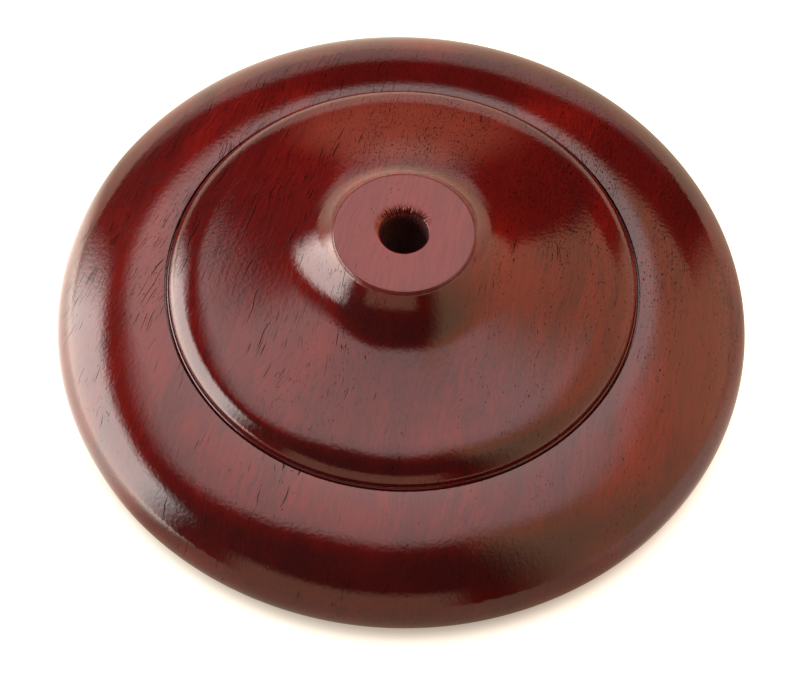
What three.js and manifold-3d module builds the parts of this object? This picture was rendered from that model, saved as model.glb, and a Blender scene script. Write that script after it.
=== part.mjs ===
// Dip pen holder: a low turned base in two mahogany tiers, with one upright pen socket in its boss.
//
// Millimetres, +Z up. The origin is the centre of the underside, on the surface that the holder stands on.
// The tiers are lathe turned about Z. Three wood screws hold them together from below, two dowels
// centre them and keep their grain in line, and a baize pad covers the screw holes.

import * as THREE from "three";
import { mergeVertices } from "three/addons/utils/BufferGeometryUtils.js";
import Module from "manifold-3d";

// ---- driving dimensions -------------------------------------------------------------------------

const FIT_GAP = 0.3; // left between two pieces that meet
const CUT_THROUGH = 1; // how far a drill runs on past a face it opens

const TOTAL_HEIGHT = 43.1;

const BASE_RADIUS = 70; // plinth, at its widest
const PAD_THICKNESS = 1.2;
const UNDERCUT = { reach: 11.5, rise: 8.3, power: 2 }; // curve from the widest line in to the underside
const SHOULDER = { reach: 21.5, rise: 13.85, power: 1.779 }; // curve from the widest line up to the top

const RECESS_RADIUS = 47.85; // shallow recess that the upper tier sits in
const RECESS_DEPTH = 1.25;
const LIP_ROUND = 0.15;

const TIER_RADIUS = 47; // wall of the upper tier
const TIER_WALL = 1.3; // how far the wall stands above the plinth's top
const NOTCH_DEPTH = 0.35; // nick between the wall's foot and the bead, below the plinth's top
const BEAD_RADIUS = 47.55; // slim bead that fills the recess round the wall
const BEAD = { reach: 0.42, rise: 0.6, power: 1.5 };
const BEAD_STAND = 0.15; // above the plinth's top
const EDGE = { radius: 6.9, foot: 61.9 }; // the curves of the upper side, with the slope in degrees
const BROW = { radius: 18, foot: 28.2 }; // at which each one starts, from the wall in to the boss
const FACE = { foot: 14.6 };
const FLARE = { radius: 18.8, foot: 21.2, head: 57.4 };
const BOSS_RADIUS = 14.2;
const TOP_EDGE_ROUND = 0.35;

const SOCKET_RADIUS = 5;
const SOCKET_FLOOR = 12;
const NIB_REST = { thickness: 3, edge: 0.3 }; // the edge is a chamfer

const PAD_RADIUS = 60;
const PAD_EDGE = 0.2;

const SCREW = {
  count: 3,
  ring: 26, // radius of the circle they stand on
  headZ: 9.4,
  length: 19,
  headRadius: 4.1,
  headDepth: 2.5,
  headEdge: 0.4, // straight part of the head's side
  shankRadius: 2.1,
  threadRadius: 1.7,
  threadStart: 9,
  threadStep: 0.4, // slope from the shank to the thread's core
  tipLength: 3,
  slotWidth: 1.1,
  slotDepth: 1.2,
};
const DOWEL = { radius: 3, length: 9, ring: 33, chamfer: 0.6 };

const TURNED_SIDES = 64; // facets round the two tiers
const SMALL_SIDES = 24; // facets round screws, dowels and the holes for them

// ---- materials ----------------------------------------------------------------------------------

const finish = (color, roughness, metalness = 0) =>
  new THREE.MeshStandardMaterial({ color, roughness, metalness });
const MAHOGANY = finish(0x5a1512, 0.15);
const BEECH = finish(0xc79f6d, 0.6);
const STEEL = finish(0x9a9b9c, 0.35, 1);
const CORK = finish(0xa87a4a, 0.9);
const BAIZE = finish(0x234a33, 1);

// ---- helpers ------------------------------------------------------------------------------------

const point = (radius, z) => new THREE.Vector2(radius, z);

// Points of an arc in the profile plane; angles in degrees from the outward direction.
function arc(centre, radius, from, to, steps) {
  return Array.from({ length: steps + 1 }, (_, i) => {
    const angle = THREE.MathUtils.degToRad(from + ((to - from) * i) / steps);
    return point(centre.x + radius * Math.cos(angle), centre.y + radius * Math.sin(angle));
  });
}

// Points of a quarter of |x / reach|^power + |z / rise|^power = 1, from its widest point up or down.
// A power of 2 is an ellipse, and a lower one is fuller at the ends and straighter between them.
function bulge(centre, { reach, rise, power }, direction, steps) {
  return Array.from({ length: steps + 1 }, (_, i) => {
    const angle = (Math.PI / 2) * (i / steps);
    return point(
      centre.x + reach * Math.pow(Math.cos(angle), 2 / power),
      centre.y + direction * rise * Math.pow(Math.sin(angle), 2 / power),
    );
  });
}

const sine = (degrees) => Math.sin(THREE.MathUtils.degToRad(degrees));
const cosine = (degrees) => Math.cos(THREE.MathUtils.degToRad(degrees));

// Points of an arc that climbs inwards from its start, between two slopes in degrees. It is round where
// the slope eases off and hollow where it grows.
function climb(start, radius, from, to, steps) {
  const way = Math.sign(to - from);
  return Array.from({ length: steps }, (_, i) => {
    const slope = from + ((to - from) * (i + 1)) / steps;
    return point(
      start.x - way * radius * (sine(slope) - sine(from)),
      start.y + way * radius * (cosine(from) - cosine(slope)),
    );
  });
}

// Turns a profile, given anticlockwise from the axis, about the Z axis.
function turned(profile, sides) {
  return new THREE.LatheGeometry(profile, sides).rotateX(Math.PI / 2);
}

// An upright cylinder from one height to another, standing at x, y.
function post(radius, low, high, x = 0, y = 0) {
  return new THREE.CylinderGeometry(radius, radius, high - low, SMALL_SIDES)
    .rotateX(Math.PI / 2)
    .translate(x, y, (low + high) / 2);
}

const wasm = await Module();
wasm.setup();

function solid(geometry) {
  const bare = geometry.clone();
  bare.deleteAttribute("normal");
  bare.deleteAttribute("uv");
  const merged = mergeVertices(bare, 1e-4);
  return new wasm.Manifold(
    new wasm.Mesh({
      numProp: 3,
      vertProperties: merged.attributes.position.array,
      triVerts: new Uint32Array(merged.index.array),
    }),
  );
}

function cut(geometry, holes) {
  const body = holes.reduce((rest, hole) => rest.subtract(solid(hole)), solid(geometry));
  const mesh = body.getMesh();
  const made = new THREE.BufferGeometry();
  made.setAttribute("position", new THREE.BufferAttribute(mesh.vertProperties, mesh.numProp));
  made.setIndex(new THREE.BufferAttribute(mesh.triVerts, 1));
  made.computeVertexNormals();
  return made;
}

// ---- derived places -----------------------------------------------------------------------------

const RIM_Z = PAD_THICKNESS + UNDERCUT.rise; // height of the widest line
const PLINTH_TOP = RIM_Z + SHOULDER.rise;
const RECESS_FLOOR = PLINTH_TOP - RECESS_DEPTH;

// The upper side of the upper tier, from the top of its wall in to the boss. The face spans what the other
// curves leave, and the boss's vertical lip closes the height.
const WALL_TOP = point(TIER_RADIUS, PLINTH_TOP + TIER_WALL);
const EDGE_CURVE = climb(WALL_TOP, EDGE.radius, EDGE.foot, BROW.foot, 6);
const BROW_CURVE = climb(EDGE_CURVE.at(-1), BROW.radius, BROW.foot, FACE.foot, 4);
const FLARE_FOOT_R = BOSS_RADIUS + FLARE.radius * (sine(FLARE.head) - sine(FLARE.foot));
const FACE_RADIUS = (BROW_CURVE.at(-1).x - FLARE_FOOT_R) / (sine(FLARE.foot) - sine(FACE.foot));
const FACE_CURVE = climb(BROW_CURVE.at(-1), FACE_RADIUS, FACE.foot, FLARE.foot, 4);
const FLARE_CURVE = climb(FACE_CURVE.at(-1), FLARE.radius, FLARE.foot, FLARE.head, 8);

const ring = (radius, count, startDegrees) =>
  Array.from({ length: count }, (_, i) => {
    const angle = THREE.MathUtils.degToRad(startDegrees + (360 * i) / count);
    return point(radius * Math.cos(angle), radius * Math.sin(angle));
  });
const SCREW_PLACES = ring(SCREW.ring, SCREW.count, 90);
const DOWEL_PLACES = ring(DOWEL.ring, 2, 0);

// ---- the two tiers ------------------------------------------------------------------------------

function basePlinth() {
  const lip = point(RECESS_RADIUS + LIP_ROUND, PLINTH_TOP - LIP_ROUND);
  const profile = [
    point(0, PAD_THICKNESS),
    ...bulge(point(BASE_RADIUS - UNDERCUT.reach, RIM_Z), UNDERCUT, -1, 8).reverse(),
    ...bulge(point(BASE_RADIUS - SHOULDER.reach, RIM_Z), SHOULDER, 1, 16).slice(1),
    ...arc(lip, LIP_ROUND, 90, 180, 2),
    point(RECESS_RADIUS, RECESS_FLOOR),
    point(SOCKET_RADIUS, RECESS_FLOOR),
    point(SOCKET_RADIUS, SOCKET_FLOOR),
    point(0, SOCKET_FLOOR),
  ];
  const headTop = SCREW.headZ + SCREW.headDepth;
  const holes = [
    ...SCREW_PLACES.flatMap(({ x, y }) => [
      post(SCREW.headRadius + 2 * FIT_GAP, 0, headTop + FIT_GAP, x, y),
      post(SCREW.shankRadius + FIT_GAP, headTop, RECESS_FLOOR + CUT_THROUGH, x, y),
    ]),
    ...DOWEL_PLACES.map(({ x, y }) =>
      post(DOWEL.radius + FIT_GAP, RECESS_FLOOR - DOWEL.length / 2, RECESS_FLOOR + CUT_THROUGH, x, y),
    ),
  ];
  return cut(turned(profile, TURNED_SIDES), holes);
}

function domeTier() {
  const floor = RECESS_FLOOR + FIT_GAP;
  const beadCentre = point(BEAD_RADIUS - BEAD.reach, PLINTH_TOP + BEAD_STAND - BEAD.rise);
  const topCentre = point(BOSS_RADIUS - TOP_EDGE_ROUND, TOTAL_HEIGHT - TOP_EDGE_ROUND);
  const profile = [
    point(SOCKET_RADIUS, floor),
    point(BEAD_RADIUS, floor),
    ...bulge(beadCentre, BEAD, 1, 4),
    point(TIER_RADIUS, PLINTH_TOP - NOTCH_DEPTH),
    WALL_TOP,
    ...EDGE_CURVE,
    ...BROW_CURVE,
    ...FACE_CURVE,
    ...FLARE_CURVE,
    ...arc(topCentre, TOP_EDGE_ROUND, 0, 90, 2),
    point(SOCKET_RADIUS, TOTAL_HEIGHT),
    point(SOCKET_RADIUS, floor),
  ];
  const screwTop = SCREW.headZ + SCREW.length;
  const holes = [
    ...SCREW_PLACES.map(({ x, y }) =>
      post(SCREW.threadRadius + FIT_GAP, RECESS_FLOOR, screwTop + FIT_GAP, x, y),
    ),
    ...DOWEL_PLACES.map(({ x, y }) =>
      post(DOWEL.radius + FIT_GAP, RECESS_FLOOR, RECESS_FLOOR + DOWEL.length / 2 + FIT_GAP, x, y),
    ),
  ];
  return cut(turned(profile, TURNED_SIDES), holes);
}

// ---- what joins and lines them ------------------------------------------------------------------

// Stands head down at the origin: slotted head, plain shank, threaded length, point.
function woodScrew() {
  const profile = [
    point(0, 0),
    point(SCREW.headRadius, 0),
    point(SCREW.headRadius, SCREW.headEdge),
    point(SCREW.shankRadius, SCREW.headDepth),
    point(SCREW.shankRadius, SCREW.threadStart),
    point(SCREW.threadRadius, SCREW.threadStart + SCREW.threadStep),
    point(SCREW.threadRadius, SCREW.length - SCREW.tipLength),
    point(0, SCREW.length),
  ];
  const slot = new THREE.BoxGeometry(3 * SCREW.headRadius, SCREW.slotWidth, 2 * SCREW.slotDepth);
  return cut(turned(profile, SMALL_SIDES), [slot]);
}

function indexDowel() {
  const half = DOWEL.length / 2 - FIT_GAP;
  const { radius, chamfer } = DOWEL;
  return turned(
    [
      point(0, -half),
      point(radius - chamfer, -half),
      point(radius, -half + chamfer),
      point(radius, half - chamfer),
      point(radius - chamfer, half),
      point(0, half),
    ],
    SMALL_SIDES,
  );
}

function disc(radius, thickness, edge, sides) {
  return turned(
    [
      point(0, 0),
      point(radius - edge, 0),
      point(radius, edge),
      point(radius, thickness - edge),
      point(radius - edge, thickness),
      point(0, thickness),
    ],
    sides,
  );
}

// ---- assembly -----------------------------------------------------------------------------------

const holder = new THREE.Group();

function place(name, geometry, material, x = 0, y = 0, z = 0) {
  const mesh = new THREE.Mesh(geometry, material);
  mesh.name = name;
  mesh.position.set(x, y, z);
  holder.add(mesh);
}

place("base_plinth", basePlinth(), MAHOGANY);
place("dome_tier", domeTier(), MAHOGANY);
const nibRest = disc(SOCKET_RADIUS - FIT_GAP, NIB_REST.thickness, NIB_REST.edge, SMALL_SIDES);
const baizePad = disc(PAD_RADIUS, PAD_THICKNESS - FIT_GAP, PAD_EDGE, TURNED_SIDES);
place("nib_rest", nibRest, CORK, 0, 0, SOCKET_FLOOR + FIT_GAP);
place("baize_pad", baizePad, BAIZE);
SCREW_PLACES.forEach(({ x, y }, i) =>
  place("tier_screw_" + (i + 1), woodScrew(), STEEL, x, y, SCREW.headZ),
);
DOWEL_PLACES.forEach(({ x, y }, i) =>
  place("index_dowel_" + (i + 1), indexDowel(), BEECH, x, y, RECESS_FLOOR),
);

export default holder;
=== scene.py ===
"""Dip pen holder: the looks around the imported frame. Metres, +Z up, origin at the centre of the underside."""

import math

import bpy
import numpy as np
from mathutils import Matrix, Vector, noise


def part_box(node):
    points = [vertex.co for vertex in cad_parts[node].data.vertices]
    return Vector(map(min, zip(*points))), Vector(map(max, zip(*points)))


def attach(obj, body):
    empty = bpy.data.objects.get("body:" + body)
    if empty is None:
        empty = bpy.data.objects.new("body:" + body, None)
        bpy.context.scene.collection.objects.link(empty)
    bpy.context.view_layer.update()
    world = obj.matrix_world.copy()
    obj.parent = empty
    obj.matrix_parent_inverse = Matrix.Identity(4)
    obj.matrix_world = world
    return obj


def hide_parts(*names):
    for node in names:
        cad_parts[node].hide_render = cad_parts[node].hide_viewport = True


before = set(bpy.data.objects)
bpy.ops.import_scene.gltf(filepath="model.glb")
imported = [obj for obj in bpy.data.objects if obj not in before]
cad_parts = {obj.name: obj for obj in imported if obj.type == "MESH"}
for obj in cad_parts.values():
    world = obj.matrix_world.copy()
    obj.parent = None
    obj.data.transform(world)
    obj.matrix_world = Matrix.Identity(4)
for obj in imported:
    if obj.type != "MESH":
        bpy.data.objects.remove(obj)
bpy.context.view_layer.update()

MM = 0.001

# ---- places taken from the frame ------------------------------------------------------------------

PLINTH_LOW, PLINTH_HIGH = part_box("base_plinth")
DOME_LOW, DOME_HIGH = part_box("dome_tier")
CORK_LOW, CORK_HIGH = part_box("nib_rest")
BAIZE_LOW, BAIZE_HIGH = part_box("baize_pad")

BASE_RADIUS = PLINTH_HIGH.x
PLINTH_BOTTOM = PLINTH_LOW.z
PLINTH_TOP = PLINTH_HIGH.z
FOOT_RADIUS = DOME_HIGH.x
TIER_BOTTOM = DOME_LOW.z
TOTAL_HEIGHT = DOME_HIGH.z

# ---- the turned shape -----------------------------------------------------------------------------
# As in part.mjs, but with finer rounding at the lip, the wall and the socket's mouth, and with the
# socket's wall 0.1 mm closer to its axis.

FIT_GAP = 0.3 * MM
UNDERCUT = {"reach": 11.5 * MM, "rise": 8.3 * MM, "power": 2.0}
SHOULDER = {"reach": 21.5 * MM, "rise": 13.85 * MM, "power": 1.779}
RECESS_RADIUS = 47.85 * MM
RECESS_FLOOR = TIER_BOTTOM - FIT_GAP
LIP_ROUND = 0.1 * MM
TIER_RADIUS = 47 * MM
TIER_WALL = 1.3 * MM
WALL_ROUND = 0.1 * MM
BEAD = {"reach": 0.42 * MM, "rise": 0.6 * MM, "power": 1.5}
BEAD_STAND = 0.15 * MM
NOTCH_DEPTH = 0.35 * MM
EDGE = {"radius": 6.9 * MM, "foot": 61.9}  # curves of the upper side, and the slopes where they start
BROW = {"radius": 18 * MM, "foot": 28.2}
FACE_FOOT = 14.6
FLARE = {"radius": 18.8 * MM, "foot": 21.2, "head": 57.4}
BOSS_RADIUS = 14.2 * MM
TOP_EDGE_ROUND = 0.35 * MM
SOCKET_RADIUS = 4.9 * MM
SOCKET_FLOOR = CORK_LOW.z - FIT_GAP
MOUTH_ROUND = 0.3 * MM

RIM_Z = PLINTH_BOTTOM + UNDERCUT["rise"]
FOOT_INSET = 2 * MM  # the upper tier's underside has a ring this far inside its wall
FOOT_BEVEL = 0.1 * MM
TEAR_REACH = 1.9 * MM  # how far from the socket's edge its mouth is torn and worn
WORN_SIDE = math.radians(140)  # the worn side of the mouth, from +X towards +Y
SIDES = 384  # facets round the turned wood
SMALL_SIDES = 48
SHARP_ANGLE = math.radians(35)
CUT_THROUGH = 1 * MM  # how far a cutter goes past the face that it opens


def arc(centre, radius, start, end, steps):
    """Points of an arc in the profile plane; angles in degrees from the outward direction."""
    angles = np.radians(np.linspace(start, end, steps + 1))
    return [(centre[0] + radius * math.cos(a), centre[1] + radius * math.sin(a)) for a in angles]


def bulge(centre, curve, direction, steps):
    """Points of a quarter of |x / reach|^power + |z / rise|^power = 1, from its widest point up or down."""
    reach, rise, power = curve["reach"], curve["rise"], curve["power"]
    return [
        (
            centre[0] + reach * max(math.cos(a), 0) ** (2 / power),
            centre[1] + direction * rise * math.sin(a) ** (2 / power),
        )
        for a in np.linspace(0, math.pi / 2, steps + 1)
    ]


def climb(start, radius, foot, head, steps):
    """Points of an arc that climbs inwards from its start between two slopes: hollow if the slope grows."""
    way = 1 if head > foot else -1
    low = math.radians(foot)
    return [
        (
            start[0] - way * radius * (math.sin(a) - math.sin(low)),
            start[1] + way * radius * (math.cos(low) - math.cos(a)),
        )
        for a in np.radians(np.linspace(foot, head, steps + 1)[1:])
    ]


def between(start, end, steps):
    """Points along a straight line, without its two ends."""
    return [
        (start[0] + (end[0] - start[0]) * i / steps, start[1] + (end[1] - start[1]) * i / steps)
        for i in range(1, steps)
    ]


# ---- mesh making ----------------------------------------------------------------------------------


def smooth(mesh):
    """Smooth shading, but for edges that turn by more than the sharp angle."""
    mesh.shade_smooth()
    mesh.set_sharp_from_angle(angle=SHARP_ANGLE)


def mesh_object(name, vertices, faces):
    mesh = bpy.data.meshes.new(name)
    mesh.from_pydata(vertices, [], faces)
    mesh.validate()
    smooth(mesh)
    made = bpy.data.objects.new(name, mesh)
    bpy.context.scene.collection.objects.link(made)
    return made


def turned(name, profile, sides, wobble=None):
    """Turns a profile about Z. It runs from axis to axis, or closes on itself where there is a bore.
    The wobble moves a point of the profile, given as radius, height and angle; points on the axis stay."""
    has_axis = profile[0][0] == 0
    rings = profile[1:-1] if has_axis else profile
    angles = np.arange(sides) * 2 * math.pi / sides
    vertices = []
    for radius, height in rings:
        for angle in angles:
            r, z = wobble(radius, height, angle) if wobble else (radius, height)
            vertices.append((r * math.cos(angle), r * math.sin(angle), z))
    faces = []
    count = len(rings)
    for i in range(count - 1 if has_axis else count):
        low = i * sides
        high = (i + 1) % count * sides
        for j in range(sides):
            k = (j + 1) % sides
            faces.append((low + j, low + k, high + k, high + j))
    if has_axis:
        bottom, top = len(vertices), len(vertices) + 1
        vertices += [(0, 0, profile[0][1]), (0, 0, profile[-1][1])]
        last = (count - 1) * sides
        for j in range(sides):
            k = (j + 1) % sides
            faces.append((bottom, k, j))
            faces.append((top, last + j, last + k))
    return mesh_object(name, vertices, faces)


def post(radius, low, high, x, y):
    """An upright cutter."""
    tool = turned("cutter", [(0, low), (radius, low), (radius, high), (0, high)], SMALL_SIDES)
    tool.data.transform(Matrix.Translation((x, y, 0)))
    return tool


def cut(piece, tools):
    """Cuts the tools out of a piece, and removes them."""
    for tool in tools:
        modifier = piece.modifiers.new("cut", "BOOLEAN")
        modifier.operation = "DIFFERENCE"
        modifier.solver = "MANIFOLD"
        modifier.object = tool
    bpy.context.view_layer.update()
    evaluated = piece.evaluated_get(bpy.context.evaluated_depsgraph_get())
    mesh = bpy.data.meshes.new_from_object(evaluated)
    piece.modifiers.clear()
    piece.data = mesh
    for tool in tools:
        bpy.data.objects.remove(tool)
    smooth(mesh)
    return piece


def stands_for(piece, node, material):
    """The piece takes the node's place, rides on the holder, and wears one material."""
    piece.data.materials.clear()
    piece.data.materials.append(material)
    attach(piece, "root")
    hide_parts(node)
    return piece


# ---- node helpers ---------------------------------------------------------------------------------


class Nodes:
    """Adds nodes to one tree. A value is a number, a tuple or another node's output."""

    def __init__(self, tree):
        self.tree = tree
        tree.nodes.clear()

    def put(self, value, socket):
        if isinstance(value, bpy.types.NodeSocket):
            self.tree.links.new(value, socket)
        else:
            socket.default_value = value

    def add(self, kind, inputs=(), **settings):
        node = self.tree.nodes.new("ShaderNode" + kind)
        for key, value in settings.items():
            setattr(node, key, value)
        for key, value in dict(inputs).items():
            self.put(value, node.inputs[key])
        return node

    def math(self, operation, *values):
        return self.add("Math", enumerate(values), operation=operation).outputs[0]

    def total(self, first, *others):
        for other in others:
            first = self.math("ADD", first, other)
        return first

    def times(self, first, *others):
        for other in others:
            first = self.math("MULTIPLY", first, other)
        return first

    def ramp(self, value, start, end, low=0.0, high=1.0):
        """Goes smoothly from low, where value is start, to high, where it is end."""
        inputs = {"Value": value, "From Min": start, "From Max": end, "To Min": low, "To Max": high}
        return self.add("MapRange", inputs, interpolation_type="SMOOTHSTEP").outputs["Result"]

    def noise(self, vector, scale, detail, roughness=0.5):
        inputs = {"Vector": vector, "Scale": scale, "Detail": detail, "Roughness": roughness}
        return self.add("TexNoise", inputs).outputs["Fac"]

    def vector(self, x, y, z):
        return self.add("CombineXYZ", {"X": x, "Y": y, "Z": z}).outputs[0]

    def axes(self, vector):
        """The x, y and z of a vector."""
        return self.add("SeparateXYZ", {0: vector}).outputs

    def azimuth(self, axes):
        """Degrees round Z, from +Y towards +X."""
        return self.math("DEGREES", self.math("ARCTAN2", axes[0], axes[1]))

    def coordinate(self, kind):
        return self.add("TexCoord").outputs[kind]

    def camera_ray(self):
        """1 for what the camera itself sees, 0 for light and reflections."""
        return self.add("LightPath").outputs["Is Camera Ray"]

    def mix(self, factor, first, second):
        node = self.add("Mix", data_type="RGBA")
        for key, value in (("Factor_Float", factor), ("A_Color", first), ("B_Color", second)):
            socket = next(s for s in node.inputs if s.identifier == key)
            self.put(value, socket)
        return next(s for s in node.outputs if s.identifier == "Result_Color")

    def band(self, value, low, high, soft):
        """1 between low and high, fading out over the soft width on either side of each."""
        return self.times(
            self.ramp(value, low - soft, low + soft),
            self.ramp(value, high + soft, high - soft),
        )

    def bump(self, height):
        """The normal of a surface with this height in millimetres."""
        return self.add("Bump", {"Height": height, "Distance": MM}).outputs[0]


def surface(name, unit=MM):
    """A material, its nodes, and the point on the piece in that unit."""
    material = bpy.data.materials.new(name)
    material.use_nodes = True
    nodes = Nodes(material.node_tree)
    inputs = {0: nodes.coordinate("Object"), 1: (1 / unit,) * 3}
    place = nodes.add("VectorMath", inputs, operation="MULTIPLY").outputs[0]
    return material, nodes, place


def finish_surface(nodes, **values):
    """Ends a material in one Principled shader; names use _ for a space."""
    shader = nodes.add("BsdfPrincipled")
    for key, value in values.items():
        nodes.put(value, shader.inputs[key.replace("_", " ")])
    nodes.add("OutputMaterial", {"Surface": shader.outputs[0]})


def colour(red, green, blue):
    return (red, green, blue, 1.0)


# ---- lacquered mahogany ---------------------------------------------------------------------------

GRAIN_LEAN = 0.2  # how far the grain leans to +X per unit of +Y at the middle
GRAIN_BEND = 62.0  # millimetres over which that lean changes by a factor of e
GRAIN_WAVE = 7.0  # millimetres by which the streaks wander
BOSS_FACE = TOTAL_HEIGHT / MM  # in millimetres, as every place in the wood's pattern is
BORE_WALL = SOCKET_RADIUS / MM

# A pore is where noise, stretched along the grain, rises above a threshold. Its edge is how far above it
# the pore begins and is full.
LONG_PORES = {"shift": 0.0, "along": 0.032, "up": 0.05, "scale": 5.4, "edge": (-0.01, 0.04)}
SHORT_PORES = {"shift": 91.0, "along": 0.20, "up": 0.14, "scale": 6.2, "edge": (0.0, 0.06)}

STAIN = {
    "deep": colour(0.100, 0.0042, 0.0036),
    "bright": colour(0.160, 0.0066, 0.0050),
    "streak": colour(0.056, 0.0044, 0.0046),
    "figure": colour(0.220, 0.0090, 0.0055),
    # painted shade, mixed in on slopes that face -Y and -X
    "painted_shade": colour(0.013, 0.0040, 0.0042),
    "pore": colour(0.008, 0.0014, 0.0012),
    "bore_mouth": colour(0.060, 0.0100, 0.0100),
    "bore": colour(0.160, 0.0700, 0.0650),
    "dark": colour(0.045, 0.0030, 0.0030),
    "pale": colour(0.240, 0.0140, 0.0090),
    # brown figure on the plinth; on the dome's back, a painted fibre sheen
    "brown_and_sheen": colour(0.190, 0.0400, 0.0260),
}
FULL_SHINE = colour(1, 1, 1)  # tints of the lacquer's shine
LOST_SHINE = colour(0.05, 0.05, 0.05)

# Where the figure of the wood changes, and on the dome's back a painted fibre sheen, in millimetres: x, y, half
# width, half depth, strength and colour.
PLINTH_FIGURE = [
    (8, 53, 42, 8, 0.60, "dark"),
    (-54, -4, 12, 26, 0.35, "pale"),
    (60, -14, 9, 16, 0.30, "brown_and_sheen"),
    (50, 29, 15, 17, 0.50, "dark"),
    (62, 0, 9, 60, 0.25, "dark"),
]
DOME_FIGURE = [
    # The brown patch at the back of the dome is a painted sheen of the fibres, not figure.
    (0, 33, 22, 10, 0.75, "brown_and_sheen"),
    (26, 20, 12, 16, 0.50, "dark"),
    (-32, 14, 16, 24, 0.25, "dark"),
    (0, 0, 16, 16, 0.40, "pale"),
]
DOME_SHIFT = 37.0  # the two tiers are cut from different parts of the board


def grain_axes(nodes, axes, shift):
    """Across the grain, along it, and up, in millimetres: the grain leans more towards -X."""
    bent = nodes.math("EXPONENT", nodes.math("DIVIDE", axes[0], GRAIN_BEND))
    lean = nodes.times(axes[1], GRAIN_LEAN / GRAIN_BEND)
    level = nodes.math("MAXIMUM", nodes.math("SUBTRACT", bent, lean), 0.02)
    across = nodes.times(nodes.math("LOGARITHM", level, math.e), GRAIN_BEND)
    return nodes.total(across, shift), axes[1], axes[2]


def pore_mask(nodes, grain, kind, sparse):
    """1 in the pores of one kind, of which there are fewer the higher sparse is."""
    across, along, up = grain
    squeezed = nodes.vector(
        nodes.total(across, kind["shift"]),
        nodes.times(along, kind["along"]),
        nodes.times(up, kind["up"]),
    )
    level = nodes.noise(squeezed, kind["scale"], 0.0)
    return nodes.ramp(nodes.math("SUBTRACT", level, sparse), *kind["edge"])


def pores(nodes, axes, grain, crowd, on_boss):
    """Open pores cut along the grain: thin hairlines, most at the back on the -X side, and shorter ticks,
    which thin out towards the front. The top of the boss has next to none."""
    sparse = nodes.total(nodes.ramp(crowd, 0.35, 0.65, 0.75, 0.68), nodes.times(on_boss, 0.12))
    to_right = nodes.ramp(axes[0], -15, 20, 0.0, 0.09)
    to_left = nodes.ramp(axes[0], -10, -35, 0.0, 0.03)
    to_front = nodes.ramp(axes[1], 0, -30, 0.0, 0.09)
    fewer_long = nodes.total(to_right, to_front, -0.01)
    fewer_short = nodes.total(nodes.ramp(axes[1], 25, -25, -0.04, 0.06), to_left)
    long_pore = pore_mask(nodes, grain, LONG_PORES, nodes.total(sparse, fewer_long))
    short_pore = pore_mask(nodes, grain, SHORT_PORES, nodes.total(sparse, fewer_short))
    return nodes.math("MAXIMUM", long_pore, short_pore)


def painted_slope_shade(nodes):
    """Painted shade: darkens the stain on slopes that face -Y, most where they are halfway down, and some on
    slopes that face -X."""
    normal = nodes.axes(nodes.coordinate("Normal"))
    to_front = nodes.times(normal[1], -1.0)
    to_left = nodes.times(normal[0], -1.0)
    front = nodes.times(
        nodes.ramp(to_front, 0.22, 0.52),
        nodes.ramp(to_front, 0.60, 0.95, 0.80, 0.45),
        nodes.ramp(normal[0], 0.30, 0.70, 1.0, 0.45),
        nodes.ramp(normal[0], -0.35, -0.70, 1.0, 0.60),
    )
    left = nodes.times(nodes.ramp(to_left, 0.08, 0.38, 0.0, 0.45), nodes.ramp(normal[1], 0.65, 0.30))
    return nodes.math("MAXIMUM", front, left)


def patch_mask(nodes, axes, x, y, half_width, half_depth):
    """A soft oval round a place."""
    across = nodes.math("DIVIDE", nodes.math("SUBTRACT", axes[0], x), half_width)
    along = nodes.math("DIVIDE", nodes.math("SUBTRACT", axes[1], y), half_depth)
    away = nodes.total(nodes.times(across, across), nodes.times(along, along))
    return nodes.ramp(away, 1.6, 0.2)


def stained(nodes, axes, grain, streak_place, fine, patches):
    """The colour of the stain: broad and fine streaks, slow figure, and the places where it changes, then
    painted shade on slopes that face -Y and -X.
    """
    across, along, up = grain
    broad = nodes.noise(streak_place, 0.16, 3.0, 0.55)
    figure_place = nodes.vector(nodes.times(across, 0.5), nodes.times(along, 0.35), up)
    figure = nodes.noise(figure_place, 0.07, 3.0)
    red = nodes.mix(nodes.ramp(broad, 0.3, 0.7), STAIN["deep"], STAIN["bright"])
    red = nodes.mix(nodes.ramp(fine, 0.38, 0.64, 0.0, 0.70), red, STAIN["streak"])
    red = nodes.mix(nodes.ramp(figure, 0.5, 0.72, 0.0, 0.5), red, STAIN["figure"])
    for x, y, half_width, half_depth, strength, tint in patches:
        mask = patch_mask(nodes, axes, x, y, half_width, half_depth)
        red = nodes.mix(nodes.times(mask, strength), red, STAIN[tint])
    # Painted shade on slopes that face -Y and -X.
    return nodes.mix(painted_slope_shade(nodes), red, STAIN["painted_shade"])


def bare_bore(nodes, axes):
    """Where the drill has left bare wood in the socket, and the colour of it, which pales with depth."""
    x, y, z = axes[0], axes[1], axes[2]
    radius = nodes.math("SQRT", nodes.total(nodes.times(x, x), nodes.times(y, y)))
    inside = nodes.ramp(radius, BORE_WALL + 0.30, BORE_WALL + 0.12)
    below = nodes.ramp(z, BOSS_FACE - 0.25, BOSS_FACE - 0.50)
    deep = nodes.ramp(z, BOSS_FACE - 2, BOSS_FACE - 12)
    return nodes.times(inside, below), nodes.mix(deep, STAIN["bore_mouth"], STAIN["bore"])


def relief(nodes, place, fine, pore, bare):
    """Height in millimetres: sunken pores, fine grain, orange peel, a slow ripple, and rough bare wood."""
    peel = nodes.noise(place, 1.2, 2.0)
    ripple = nodes.noise(place, 0.13, 1.0)
    return nodes.total(
        nodes.times(pore, -0.004),
        nodes.times(fine, 0.006),
        nodes.times(peel, 0.024),
        nodes.times(ripple, 0.020),
        nodes.times(bare, fine, 0.25),
    )


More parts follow.
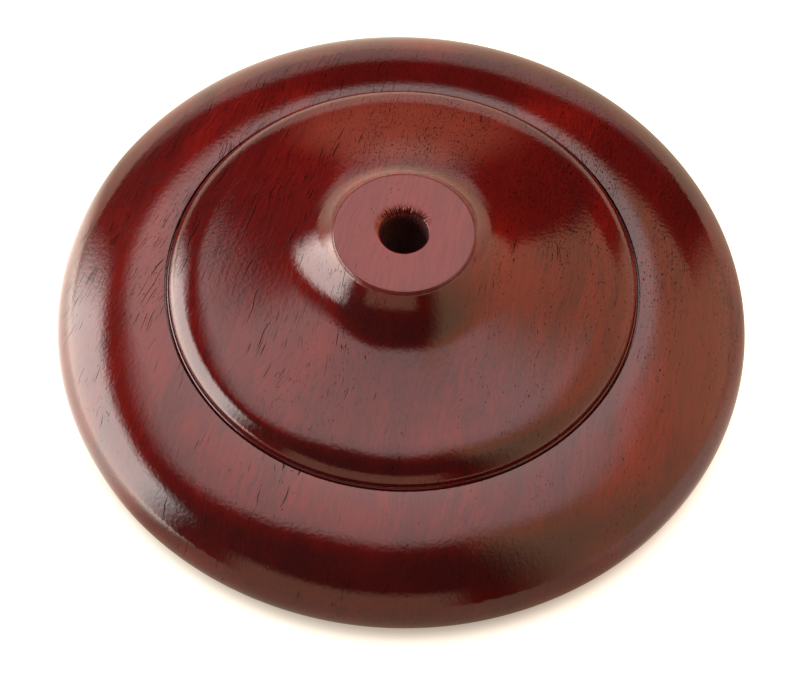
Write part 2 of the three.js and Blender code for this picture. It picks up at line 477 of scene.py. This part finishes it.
def mahogany(name, shift, patches):
    """Red stained, gloss lacquered mahogany: open pores along the grain, streaks and figure."""
    material, nodes, place = surface(name)
    axes = nodes.axes(place)
    grain = grain_axes(nodes, axes, shift)
    across, along, up = grain
    wavy = nodes.total(across, nodes.times(nodes.noise(place, 0.05, 2.0), GRAIN_WAVE))
    streak_place = nodes.vector(wavy, nodes.times(along, 0.05), nodes.times(up, 0.5))
    fine = nodes.noise(streak_place, 1.9, 4.0, 0.75)
    crowd = nodes.noise(streak_place, 0.12, 1.0)
    on_boss = nodes.ramp(axes[2], BOSS_FACE - 0.3, BOSS_FACE - 0.1)
    pore = pores(nodes, axes, (wavy, along, up), crowd, on_boss)
    bare, bore = bare_bore(nodes, axes)

    red = stained(nodes, axes, grain, streak_place, fine, patches)
    red = nodes.mix(nodes.times(pore, 0.9), red, STAIN["pore"])
    dulled = nodes.times(on_boss, nodes.ramp(fine, 0.35, 0.65, 0.09, 0.19))
    finish_surface(
        nodes,
        Base_Color=nodes.mix(bare, red, bore),
        Roughness=nodes.total(0.045, nodes.times(fine, 0.04), nodes.times(bare, 0.55)),
        IOR=1.5,
        Specular_Tint=nodes.mix(nodes.math("MAXIMUM", pore, dulled), FULL_SHINE, LOST_SHINE),
        Normal=nodes.bump(relief(nodes, place, fine, pore, bare)),
    )
    return material


# ---- the unseen materials -------------------------------------------------------------------------


def baize():
    material, nodes, place = surface("baize")
    tuft = nodes.noise(place, 3.2, 4.0, 0.7)
    worn = nodes.noise(place, 0.08, 3.0)
    weave = nodes.add("TexWave", {"Vector": place, "Scale": 0.9, "Distortion": 6.0, "Detail": 2.0})
    green = nodes.mix(tuft, colour(0.008, 0.035, 0.016), colour(0.022, 0.085, 0.040))
    green = nodes.mix(nodes.ramp(worn, 0.45, 0.75, 0.0, 0.4), green, colour(0.045, 0.085, 0.050))
    height = nodes.total(nodes.times(tuft, 0.22), nodes.times(weave.outputs["Fac"], 0.05))
    finish_surface(
        nodes,
        Base_Color=green,
        Roughness=nodes.ramp(tuft, 0.2, 0.8, 1.0, 0.85),
        Sheen_Weight=0.35,
        Normal=nodes.bump(height),
    )
    return material


def cork():
    material, nodes, place = surface("cork")
    grain = nodes.add("TexVoronoi", {"Vector": place, "Scale": 1.1})
    cell = nodes.axes(grain.outputs["Color"])[0]
    speck = nodes.noise(place, 2.4, 3.0, 0.6)
    tan = nodes.mix(cell, colour(0.20, 0.100, 0.042), colour(0.42, 0.240, 0.110))
    tan = nodes.mix(nodes.ramp(speck, 0.60, 0.72), tan, colour(0.060, 0.028, 0.014))
    height = nodes.total(nodes.times(grain.outputs["Distance"], -0.15), nodes.times(speck, 0.1))
    finish_surface(
        nodes,
        Base_Color=tan,
        Roughness=nodes.ramp(speck, 0.3, 0.7, 0.95, 0.8),
        Normal=nodes.bump(height),
    )
    return material


def screw_steel():
    material, nodes, place = surface("screw_steel")
    grit = nodes.noise(place, 5.0, 3.0)
    smear = nodes.noise(place, 0.5, 3.0)
    grey = nodes.mix(nodes.ramp(smear, 0.35, 0.75), colour(0.42, 0.42, 0.43), colour(0.26, 0.25, 0.24))
    finish_surface(
        nodes,
        Base_Color=grey,
        Metallic=1.0,
        Roughness=nodes.ramp(smear, 0.3, 0.8, 0.28, 0.5),
        Normal=nodes.bump(nodes.times(grit, 0.02)),
    )
    return material


def beech():
    material, nodes, place = surface("beech")
    axes = nodes.axes(place)
    fibre_place = nodes.vector(axes[0], axes[1], nodes.times(axes[2], 0.12))
    fleck_place = nodes.vector(axes[0], axes[1], nodes.times(axes[2], 0.5))
    fibre = nodes.noise(fibre_place, 2.2, 3.0, 0.6)
    fleck = nodes.noise(fleck_place, 3.5, 1.0)
    pale = nodes.mix(fibre, colour(0.45, 0.27, 0.13), colour(0.62, 0.42, 0.23))
    pale = nodes.mix(nodes.ramp(fleck, 0.66, 0.72, 0.0, 0.6), pale, colour(0.24, 0.12, 0.05))
    finish_surface(
        nodes,
        Base_Color=pale,
        Roughness=nodes.ramp(fibre, 0.2, 0.8, 0.68, 0.55),
        Normal=nodes.bump(nodes.times(fibre, 0.05)),
    )
    return material


# ---- the two turned tiers -------------------------------------------------------------------------

SCREW_RING = 26 * MM
SCREW_HEAD_Z = 9.4 * MM
SCREW_LENGTH = 19 * MM
HEAD_RADIUS = 4.1 * MM
HEAD_DEPTH = 2.5 * MM
HEAD_EDGE = 0.4 * MM
HEAD_BEVEL = 0.15 * MM
HEAD_NECK = 0.3 * MM
SLOT_WIDTH = 1.1 * MM
SLOT_DEPTH = 1.2 * MM
SLOT_TURN = math.radians(37)  # between one screw's slot and the next one's
SHANK_RADIUS = 2.1 * MM
PILOT_RADIUS = 1.7 * MM
THREAD = {"start": 9 * MM, "pitch": 1.5 * MM, "depth": 0.42 * MM, "crest": 0.12 * MM, "flank": 2.6}
THREAD_STEP = 0.4 * MM  # length over which the shank narrows to the thread's core
TIP = {"length": 3 * MM, "blunt": 0.12}
DOWEL_RADIUS = 3 * MM
DOWEL_LENGTH = 9 * MM
DOWEL_RING = 33 * MM
DOWEL_CHAMFER = 0.6 * MM
FLUTES = 14
FLUTE_DEPTH = 0.16 * MM


def on_ring(radius, count, start_degrees):
    angles = [math.radians(start_degrees + 360 * i / count) for i in range(count)]
    return [(radius * math.cos(a), radius * math.sin(a)) for a in angles]


SCREW_PLACES = on_ring(SCREW_RING, 3, 90)
DOWEL_PLACES = on_ring(DOWEL_RING, 2, 0)


def plinth_profile():
    lip = (RECESS_RADIUS + LIP_ROUND, PLINTH_TOP - LIP_ROUND)
    under = bulge((BASE_RADIUS - UNDERCUT["reach"], RIM_Z), UNDERCUT, -1, 24)[::-1]
    over = bulge((BASE_RADIUS - SHOULDER["reach"], RIM_Z), SHOULDER, 1, 64)[1:]
    return [
        (0, PLINTH_BOTTOM),
        (BASE_RADIUS / 3, PLINTH_BOTTOM),
        *under,
        *over,
        *arc(lip, LIP_ROUND, 90, 180, 6),
        (RECESS_RADIUS, RECESS_FLOOR),
        (RECESS_RADIUS / 2, RECESS_FLOOR),
        (SOCKET_RADIUS, RECESS_FLOOR),
        (SOCKET_RADIUS, SOCKET_FLOOR),
        (SOCKET_RADIUS / 2, SOCKET_FLOOR),
        (0, SOCKET_FLOOR),
    ]


def make_plinth(material):
    head_top = SCREW_HEAD_Z + HEAD_DEPTH
    over = RECESS_FLOOR + CUT_THROUGH
    tools = []
    for x, y in SCREW_PLACES:
        tools.append(post(HEAD_RADIUS + 2 * FIT_GAP, 0, head_top + FIT_GAP, x, y))
        tools.append(post(SHANK_RADIUS + FIT_GAP, head_top, over, x, y))
    for x, y in DOWEL_PLACES:
        tools.append(post(DOWEL_RADIUS + FIT_GAP, RECESS_FLOOR - DOWEL_LENGTH / 2, over, x, y))
    piece = cut(turned("plinth_turning", plinth_profile(), SIDES), tools)
    return stands_for(piece, "base_plinth", material)


def sine_step(foot, head):
    """How far in an arc of radius 1 goes as it climbs between two slopes in degrees."""
    return math.sin(math.radians(head)) - math.sin(math.radians(foot))


def dome_upper_side(wall_top):
    """From the top of the wall in to the boss: edge, brow, and hollow face, whose radius fills what is
    left, and the flare."""
    edge = climb((TIER_RADIUS, wall_top), EDGE["radius"], EDGE["foot"], BROW["foot"], 24)
    brow = climb(edge[-1], BROW["radius"], BROW["foot"], FACE_FOOT, 12)
    flare_reach = FLARE["radius"] * sine_step(FLARE["foot"], FLARE["head"])
    face_reach = brow[-1][0] - BOSS_RADIUS - flare_reach
    face_radius = face_reach / sine_step(FACE_FOOT, FLARE["foot"])
    face = climb(brow[-1], face_radius, FACE_FOOT, FLARE["foot"], 20)
    flare = climb(face[-1], FLARE["radius"], FLARE["foot"], FLARE["head"], 32)
    return [*edge, *brow, *face, *flare]


def dome_profile():
    """From the underside out, up the bead and the wall, in over the upper side, and down the bore."""
    bead = (FOOT_RADIUS - BEAD["reach"], PLINTH_TOP + BEAD_STAND - BEAD["rise"])
    wall_top = PLINTH_TOP + TIER_WALL
    boss_edge = (BOSS_RADIUS - TOP_EDGE_ROUND, TOTAL_HEIGHT - TOP_EDGE_ROUND)
    mouth = (SOCKET_RADIUS + MOUTH_ROUND, TOTAL_HEIGHT - MOUTH_ROUND)
    wall_edge = (TIER_RADIUS - WALL_ROUND, wall_top - WALL_ROUND)
    return [
        (TIER_RADIUS - FOOT_INSET, TIER_BOTTOM),
        (FOOT_RADIUS - FOOT_BEVEL, TIER_BOTTOM),
        (FOOT_RADIUS, TIER_BOTTOM + FOOT_BEVEL),
        *bulge(bead, BEAD, 1, 12),
        (TIER_RADIUS, PLINTH_TOP - NOTCH_DEPTH),
        *arc(wall_edge, WALL_ROUND, 0, 90 - EDGE["foot"], 3),
        *dome_upper_side(wall_top),
        *arc(boss_edge, TOP_EDGE_ROUND, 0, 90, 5),
        *between((boss_edge[0], TOTAL_HEIGHT), (mouth[0], TOTAL_HEIGHT), 12),
        *arc(mouth, MOUTH_ROUND, 90, 180, 10),
        *between((SOCKET_RADIUS, mouth[1]), (SOCKET_RADIUS, TIER_BOTTOM), 24),
        (SOCKET_RADIUS, TIER_BOTTOM),
        (SCREW_RING, TIER_BOTTOM),
    ]


def torn_mouth(radius, height, angle):
    """The drill has torn fine splinters out of the mouth at the back and worn its left side."""
    away = math.hypot(radius - SOCKET_RADIUS, TOTAL_HEIGHT - height)
    if away > TEAR_REACH or radius > SOCKET_RADIUS + TEAR_REACH:
        return radius, height
    fade = (1 - away / TEAR_REACH) ** 1.3
    at_back = max(0.0, math.sin(angle)) ** 2
    at_left = max(0.0, math.cos(angle - WORN_SIDE)) ** 3
    across = SOCKET_RADIUS * math.cos(angle) / MM
    fibres = noise.noise(Vector((across * 5.2, 2.0, 8.1))) + 0.4 * noise.noise(Vector((across * 9, 5.0, 1.3)))
    ragged = noise.noise(Vector((math.cos(angle) * 4, math.sin(angle) * 4, 3.7)))
    tear = max(0.0, 0.35 + 0.9 * fibres) * at_back
    out = 0.22 * at_back + 0.36 * tear + 0.30 * at_left + 0.05 * ragged
    down = 0.25 * at_back + 0.7 * tear + 0.35 * at_left
    return radius + fade * out * MM, height - fade * down * MM


def make_dome(material):
    screw_top = SCREW_HEAD_Z + SCREW_LENGTH
    tools = [post(PILOT_RADIUS + FIT_GAP, RECESS_FLOOR, screw_top + FIT_GAP, x, y) for x, y in SCREW_PLACES]
    dowel_top = RECESS_FLOOR + DOWEL_LENGTH / 2 + FIT_GAP
    tools += [post(DOWEL_RADIUS + FIT_GAP, RECESS_FLOOR, dowel_top, x, y) for x, y in DOWEL_PLACES]
    piece = cut(turned("dome_turning", dome_profile(), SIDES, torn_mouth), tools)
    return stands_for(piece, "dome_tier", material)


# ---- what is inside and below ---------------------------------------------------------------------

CORK_DISC = {"edge": 0.3 * MM, "sides": 96, "roughen": 0.06 * MM}
BAIZE_DISC = {"edge": 0.25 * MM, "sides": 256, "roughen": 0.05 * MM}


def soft_disc(name, low, high, edge, sides, roughen):
    """A disc with rounded edges that fills a node's box, a little uneven on its faces and rim."""
    radius = high.x
    flat = radius - edge
    steps = 24
    grain_size = 0.9 * MM

    def uneven(r, z, angle):
        lump = noise.noise(Vector((r * math.cos(angle), r * math.sin(angle), z)) / grain_size)
        inward = 0.5 + 0.5 * lump
        top = z > (low.z + high.z) / 2
        return r - roughen * inward * (r > flat), z - roughen * inward * (1 if top else -1)

    profile = [
        (0, low.z),
        *between((0, low.z), (flat, low.z), steps),
        *arc((flat, low.z + edge), edge, -90, 0, 4),
        *arc((flat, high.z - edge), edge, 0, 90, 4),
        *between((flat, high.z), (0, high.z), steps),
        (0, high.z),
    ]
    return turned(name, profile, sides, uneven)


def threaded(radius, height, angle):
    """Lifts a point of the screw to its place, and sinks a groove into it where the thread is cut."""
    if height <= THREAD["start"]:
        return radius, height + SCREW_HEAD_Z
    turn = (height / THREAD["pitch"] - angle / (2 * math.pi)) % 1.0
    groove = min(1.0, THREAD["flank"] * min(turn, 1 - turn))
    run_in = min(1.0, (height - THREAD["start"]) / THREAD["pitch"])
    depth = THREAD["depth"] * groove * run_in * min(1.0, radius / PILOT_RADIUS)
    return radius - depth + THREAD["crest"] * run_in, height + SCREW_HEAD_Z


def screw_profile():
    """From the middle of the head, at 0, up to the point, whose last stretch tapers to a blunt tip."""

    def core(z):
        return PILOT_RADIUS * min(1.0, TIP["blunt"] + (1 - TIP["blunt"]) * (SCREW_LENGTH - z) / TIP["length"])

    return [
        (0, 0),
        (HEAD_RADIUS - HEAD_BEVEL, 0),
        (HEAD_RADIUS, HEAD_BEVEL),
        (HEAD_RADIUS, HEAD_EDGE),
        (SHANK_RADIUS + HEAD_EDGE, HEAD_DEPTH - HEAD_EDGE),
        (SHANK_RADIUS, HEAD_DEPTH + HEAD_NECK),
        (SHANK_RADIUS, THREAD["start"] - THREAD_STEP),
        *[(core(z), z) for z in np.linspace(THREAD["start"], SCREW_LENGTH, 140)[1:]],
        (0, SCREW_LENGTH),
    ]


def make_screw(index, x, y, material):
    """Slotted countersunk wood screw, head down, with a cut thread running out at its point."""
    screw = turned(f"wood_screw_{index}", screw_profile(), SMALL_SIDES, threaded)
    middle, tip = screw.data.vertices[-2], screw.data.vertices[-1]
    middle.co.z = SCREW_HEAD_Z
    tip.co.z = SCREW_HEAD_Z + SCREW_LENGTH
    slot = mesh_object("slot", *box_mesh(3 * HEAD_RADIUS, SLOT_WIDTH, 2 * SLOT_DEPTH, SCREW_HEAD_Z))
    cut(screw, [slot])
    turn = Matrix.Rotation(index * SLOT_TURN, 4, "Z")
    screw.data.transform(Matrix.Translation((x, y, 0)) @ turn)
    return stands_for(screw, f"tier_screw_{index}", material)


def box_mesh(width, depth, height, middle):
    """Vertices and faces of a cutter with square corners, its middle at that height."""
    corners = [
        (sx * width / 2, sy * depth / 2, middle + sz * height / 2)
        for sx in (-1, 1) for sy in (-1, 1) for sz in (-1, 1)
    ]
    faces = [(0, 1, 3, 2), (4, 6, 7, 5), (0, 4, 5, 1), (2, 3, 7, 6), (0, 2, 6, 4), (1, 5, 7, 3)]
    return corners, faces


def make_dowel(index, x, y, material):
    """Fluted beech dowel with chamfered ends, half in each tier."""
    half = DOWEL_LENGTH / 2 - FIT_GAP
    straight = half - DOWEL_CHAMFER

    def fluted(radius, height, angle):
        dip = 0.5 - 0.5 * math.cos(FLUTES * angle)
        return radius - FLUTE_DEPTH * dip ** 3, height + RECESS_FLOOR

    profile = [
        (0, RECESS_FLOOR - half),
        (DOWEL_RADIUS / 2, -half),
        (DOWEL_RADIUS - DOWEL_CHAMFER, -half),
        (DOWEL_RADIUS, -straight),
        *between((DOWEL_RADIUS, -straight), (DOWEL_RADIUS, straight), 8),
        (DOWEL_RADIUS, straight),
        (DOWEL_RADIUS - DOWEL_CHAMFER, half),
        (DOWEL_RADIUS / 2, half),
        (0, RECESS_FLOOR + half),
    ]
    dowel = turned(f"fluted_dowel_{index}", profile, 8 * FLUTES, fluted)
    dowel.data.transform(Matrix.Translation((x, y, 0)))
    return stands_for(dowel, f"index_dowel_{index}", material)


# ---- studio ---------------------------------------------------------------------------------------

CAMERA = {"elevation": 57.83, "roll": 1.9, "distance": 1.058, "target": (-0.0001, 0, 0.0025), "lens": 232.6}
FLOOR_SIZE = 2.0  # half its width
PAINTED_SHADOW_EDGE = (0.935 * BASE_RADIUS, 1.01 * BASE_RADIUS)  # painted shadow: the floor's glow to the camera dims under the rim
FLOOR_COLOUR = colour(0.66, 0.60, 0.49)
FAR_FLOOR_COLOUR = colour(0.08, 0.07, 0.06)
FLOOR_LIGHT = colour(1.0, 0.92, 0.82)
BACKDROP = colour(0.58, 0.54, 0.50)  # what the camera sees beyond the floor
FAINT_LIGHT = colour(0.020, 0.012, 0.010)  # from where no box or card is

# Azimuths are in degrees from +Y towards +X, and elevations in degrees above the horizon. A span is its
# two ends and the width over which it fades at each.
FLOOR_GLOWS = {"left": (-122, -61, 10), "behind": (-45, 5, 15), "beside": (92, 130, 15)}
OVERHEAD = {"edge": 47.5, "front_rise": 26.5, "back_dip": 6.0, "right_rise": 12.2, "left_rise": 2.6}
OVERHEAD_FADE = {"width": 5.5, "on_right": 5.0, "on_left": 3.0}
LEFT_BOX = {"azimuth": (-113, -53, 9), "elevation": (-60, 31.5, 5)}


def make_camera():
    """Looks along +Y from above, from where the holder was seen."""
    elevation = math.radians(CAMERA["elevation"])
    roll = math.radians(CAMERA["roll"])
    forward = Vector((0, math.cos(elevation), -math.sin(elevation)))
    right = Vector((1, 0, 0))
    up = right.cross(forward)
    rolled_right = math.cos(roll) * right + math.sin(roll) * up
    rolled_up = math.cos(roll) * up - math.sin(roll) * right
    camera = bpy.data.objects.new("camera", bpy.data.cameras.new("camera"))
    camera.data.sensor_width = 36
    camera.data.lens = CAMERA["lens"]
    camera.data.clip_start = 0.01
    camera.data.clip_end = 20
    turn = Matrix((rolled_right, rolled_up, -forward)).transposed().to_4x4()
    place = Vector(CAMERA["target"]) - CAMERA["distance"] * forward
    camera.matrix_world = Matrix.Translation(place) @ turn
    bpy.context.scene.collection.objects.link(camera)
    bpy.context.scene.camera = camera


def floor_glow(nodes, away, azimuth):
    """Painted light: a glow on the floor, seen only in reflections, that stands in for the light the boxes
    leave on it.
    """
    left = nodes.times(nodes.band(azimuth, *FLOOR_GLOWS["left"]), nodes.ramp(away, 0.075, 0.20, 2.6, 7.6))
    behind = nodes.times(nodes.band(azimuth, *FLOOR_GLOWS["behind"]), 0.40)
    beside = nodes.times(nodes.band(azimuth, *FLOOR_GLOWS["beside"]), 0.60)
    return nodes.total(left, behind, beside)


def make_floor():
    """Pale table. To the camera it glows, with a painted pool of light round the holder that fades further out
    and a painted shadow under the rim. Only the lacquer sees the boxes shine on it.
    """
    corners = [(sx * FLOOR_SIZE, sy * FLOOR_SIZE, 0) for sx, sy in ((-1, -1), (1, -1), (1, 1), (-1, 1))]
    floor = mesh_object("floor", corners, [(0, 1, 2, 3)])
    material, nodes, place = surface("pale_floor", 1.0)
    away = nodes.add("VectorMath", {0: place}, operation="LENGTH").outputs["Value"]
    glow = floor_glow(nodes, away, nodes.azimuth(nodes.axes(place)))
    # Painted shadow under the rim and painted pool of light round the holder, which fades further out: the glow
    # that the camera sees.
    near = nodes.ramp(away, *PAINTED_SHADOW_EDGE, 0.30, 1.05)
    far = nodes.ramp(away, 0.16, 0.34)
    clear = nodes.times(near, nodes.ramp(far, 0.0, 1.0, 1.0, 0.50))
    seen = nodes.camera_ray()
    unseen = nodes.math("SUBTRACT", 1.0, seen)
    finish_surface(
        nodes,
        Base_Color=nodes.mix(nodes.times(seen, far), FLOOR_COLOUR, FAR_FLOOR_COLOUR),
        Roughness=1.0,
        Specular_IOR_Level=0.0,
        Emission_Color=FLOOR_LIGHT,
        Emission_Strength=nodes.total(nodes.times(seen, clear), nodes.times(unseen, glow)),
    )
    floor.data.materials.append(material)


def above_lower_edge(nodes, azimuth, aside, elevation):
    """How far a direction is above the overhead box's lower edge, which fades from -1 to 1. The edge
    rises towards the front and on the right, and dips at the back left."""
    front = nodes.ramp(aside, 89, 146)
    back_left = nodes.band(azimuth, -46, -18, 12)
    on_right = nodes.times(nodes.ramp(azimuth, 12, 40), nodes.ramp(azimuth, 150, 110))
    on_left = nodes.band(azimuth, -128, -42, 12)
    edge = nodes.total(
        OVERHEAD["edge"],
        nodes.times(front, OVERHEAD["front_rise"]),
        nodes.times(back_left, -OVERHEAD["back_dip"]),
        nodes.times(on_right, OVERHEAD["right_rise"]),
        nodes.times(on_left, OVERHEAD["left_rise"]),
    )
    fade = nodes.total(
        OVERHEAD_FADE["width"],
        nodes.times(on_right, OVERHEAD_FADE["on_right"]),
        nodes.times(on_left, OVERHEAD_FADE["on_left"]),
    )
    return nodes.math("DIVIDE", nodes.math("SUBTRACT", elevation, edge), fade)


def right_card(nodes, azimuth, elevation, above):
    """A wide warm card on the right, under the overhead box. Its end near +Y leans with elevation."""
    slant = nodes.times(nodes.math("SUBTRACT", 52.0, elevation), 2.1)
    start = nodes.math("MINIMUM", slant, 46.0)
    begun = nodes.ramp(nodes.math("SUBTRACT", azimuth, start), -5, 5)
    return nodes.times(begun, nodes.ramp(azimuth, 152, 126), nodes.ramp(above, 1, -1))


def back_card(nodes, azimuth, aside, elevation):
    """A low card at the back, tallest in its middle."""
    top = nodes.ramp(aside, 12, 25, 17, 8)
    below_top = nodes.ramp(nodes.math("SUBTRACT", elevation, top), 4, -4)
    return nodes.times(nodes.band(azimuth, -28, 25, 9), below_top)


def front_card(nodes, azimuth, elevation):
    """A low warm card at the front."""
    across = nodes.math("MAXIMUM", nodes.ramp(azimuth, -132, -142), nodes.ramp(azimuth, 158, 168))
    return nodes.times(across, nodes.ramp(elevation, 30, 20))


def studio_panels(nodes):
    """Mask and light of every soft box and card round the holder, by direction."""
    axes = nodes.axes(nodes.coordinate("Generated"))
    azimuth = nodes.azimuth(axes)
    elevation = nodes.math("DEGREES", nodes.math("ARCSINE", axes[2]))
    aside = nodes.math("ABSOLUTE", azimuth)
    above = above_lower_edge(nodes, azimuth, aside, elevation)
    overhead = nodes.times(nodes.ramp(above, -1, 1), nodes.total(0.93, nodes.times(axes[1], 0.55)))
    left = nodes.times(
        nodes.band(azimuth, *LEFT_BOX["azimuth"]),
        nodes.band(elevation, *LEFT_BOX["elevation"]),
    )
    return [
        (overhead, colour(2.22, 2.17, 2.08)),
        (left, colour(8.0, 7.7, 7.3)),
        (right_card(nodes, azimuth, elevation, above), colour(1.40, 0.95, 0.56)),
        (back_card(nodes, azimuth, aside, elevation), colour(0.86, 0.82, 0.74)),
        (front_card(nodes, azimuth, elevation), colour(1.25, 0.72, 0.46)),
    ]


def make_studio():
    """Soft boxes round the holder, painted on the sky. The camera itself sees a plain pale background."""
    world = bpy.data.worlds.new("studio")
    bpy.context.scene.world = world
    world.use_nodes = True
    nodes = Nodes(world.node_tree)
    light = nodes.add("Background", {"Color": FAINT_LIGHT}).outputs[0]
    for mask, shade in studio_panels(nodes):
        panel = nodes.add("Background", {"Color": shade, "Strength": mask}).outputs[0]
        light = nodes.add("AddShader", {0: light, 1: panel}).outputs[0]
    plain = nodes.add("Background", {"Color": BACKDROP}).outputs[0]
    shader = nodes.add("MixShader", {0: nodes.camera_ray(), 1: light, 2: plain}).outputs[0]
    nodes.add("OutputWorld", {"Surface": shader})


# ---- assembly -------------------------------------------------------------------------------------


def main():
    make_plinth(mahogany("mahogany_plinth", 0.0, PLINTH_FIGURE))
    make_dome(mahogany("mahogany_dome", DOME_SHIFT, DOME_FIGURE))
    cork_disc = soft_disc("cork_disc", CORK_LOW, CORK_HIGH, **CORK_DISC)
    stands_for(cork_disc, "nib_rest", cork())
    baize_disc = soft_disc("baize_disc", BAIZE_LOW, BAIZE_HIGH, **BAIZE_DISC)
    stands_for(baize_disc, "baize_pad", baize())
    steel = screw_steel()
    for i, (x, y) in enumerate(SCREW_PLACES, 1):
        make_screw(i, x, y, steel)
    wood = beech()
    for i, (x, y) in enumerate(DOWEL_PLACES, 1):
        make_dowel(i, x, y, wood)
    make_camera()
    make_floor()
    make_studio()
    bpy.context.scene.view_settings.view_transform = "Standard"


main()
